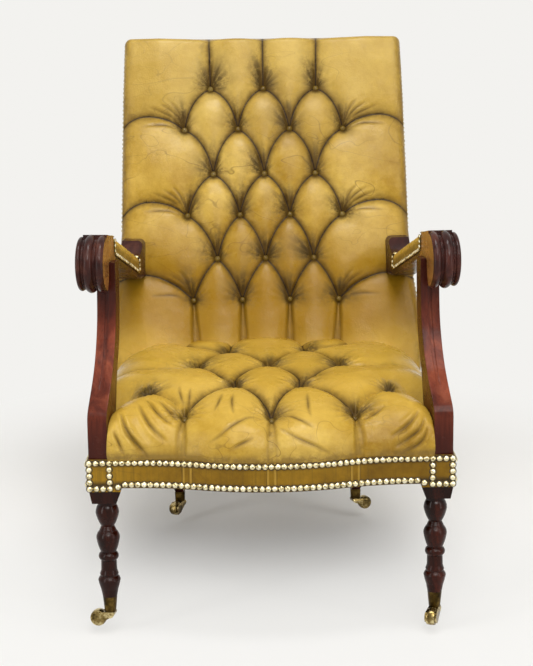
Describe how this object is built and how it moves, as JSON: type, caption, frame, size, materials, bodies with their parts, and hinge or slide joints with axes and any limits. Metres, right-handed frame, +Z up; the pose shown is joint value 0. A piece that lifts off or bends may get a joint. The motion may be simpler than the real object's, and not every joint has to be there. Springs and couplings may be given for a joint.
{
  "type": "library chair",
  "caption": "Deep-buttoned leather library chair with scrolled arms, bobbin-turned front legs, sabre rear legs and brass castors.",
  "frame": {"origin": "middle of the whole chair in plan, on the floor", "axes": "+Z up, +Y from the front of the seat towards the back, +X to the right as the chair is seen from the front"},
  "size_m": [0.6846, 0.8046, 1.049],
  "materials": {
    "show_wood": "polished",
    "frame_wood": "raw",
    "leather": "worn, waxed",
    "webbing": "woven jute",
    "canvas": "woven",
    "castor_brass": "aged"
  },
  "bodies": {
    "frame": {"front_rail": "frame_wood", "side_rail_left": "frame_wood", "side_rail_right": "frame_wood", "rear_rail": "frame_wood", "corner_blocks": "frame_wood", "front_leg_left": "show_wood", "front_leg_right": "show_wood", "rear_post_left": "show_wood", "rear_post_right": "show_wood", "arm_support_left": "show_wood", "arm_support_right": "show_wood", "arm_left": "show_wood", "arm_right": "show_wood", "top_rail": "frame_wood", "lower_back_rail": "frame_wood", "seat_webbing": "webbing", "seat_deck": "canvas", "dust_cover": "canvas", "front_band": "leather", "side_band_left": "leather", "side_band_right": "leather", "rear_band": "leather", "back_webbing": "webbing", "back_cushion": "leather", "back_buttons": "leather", "outside_back": "leather", "seat_cushion": "leather", "seat_buttons": "leather", "arm_pad_left": "leather", "arm_pad_right": "leather", "castor_cup_front_left": "castor_brass", "castor_pin_front_left": "castor_brass", "castor_cup_front_right": "castor_brass", "castor_pin_front_right": "castor_brass", "castor_cup_rear_left": "castor_brass", "castor_pin_rear_left": "castor_brass", "castor_cup_rear_right": "castor_brass", "castor_pin_rear_right": "castor_brass"},
    "castor_front_left": {"castor_horn_front_left": "castor_brass", "castor_axle_front_left": "castor_brass"},
    "wheel_front_left": {"castor_wheel_front_left": "castor_brass"},
    "castor_front_right": {"castor_horn_front_right": "castor_brass", "castor_axle_front_right": "castor_brass"},
    "wheel_front_right": {"castor_wheel_front_right": "castor_brass"},
    "castor_rear_left": {"castor_horn_rear_left": "castor_brass", "castor_axle_rear_left": "castor_brass"},
    "wheel_rear_left": {"castor_wheel_rear_left": "castor_brass"},
    "castor_rear_right": {"castor_horn_rear_right": "castor_brass", "castor_axle_rear_right": "castor_brass"},
    "wheel_rear_right": {"castor_wheel_rear_right": "castor_brass"}
  },
  "joints": [
    {"name": "swivel_front_left", "type": "hinge", "parent": "frame", "child": "castor_front_left", "pos_m": [-0.293, -0.33227, 0.028], "axis": [0, 0, 1], "continuous": true},
    {"name": "roll_front_left", "type": "hinge", "parent": "castor_front_left", "child": "wheel_front_left", "pos_m": [-0.31467, -0.32845, 0.015], "axis": [-0.1736, -0.9848, 0], "continuous": true},
    {"name": "swivel_front_right", "type": "hinge", "parent": "frame", "child": "castor_front_right", "pos_m": [0.293, -0.33227, 0.028], "axis": [0, 0, 1], "continuous": true},
    {"name": "roll_front_right", "type": "hinge", "parent": "castor_front_right", "child": "wheel_front_right", "pos_m": [0.28548, -0.35294, 0.015], "axis": [0.9397, -0.342, 0], "continuous": true},
    {"name": "swivel_rear_left", "type": "hinge", "parent": "frame", "child": "castor_rear_left", "pos_m": [-0.198, 0.33973, 0.028], "axis": [0, 0, 1], "continuous": true},
    {"name": "roll_rear_left", "type": "hinge", "parent": "castor_rear_left", "child": "wheel_rear_left", "pos_m": [-0.2073, 0.31979, 0.015], "axis": [0.9063, -0.4226, 0], "continuous": true},
    {"name": "swivel_rear_right", "type": "hinge", "parent": "frame", "child": "castor_rear_right", "pos_m": [0.198, 0.33973, 0.028], "axis": [0, 0, 1], "continuous": true},
    {"name": "roll_rear_right", "type": "hinge", "parent": "castor_rear_right", "child": "wheel_rear_right", "pos_m": [0.21867, 0.34725, 0.015], "axis": [-0.342, 0.9397, 0], "continuous": true}
  ]
}
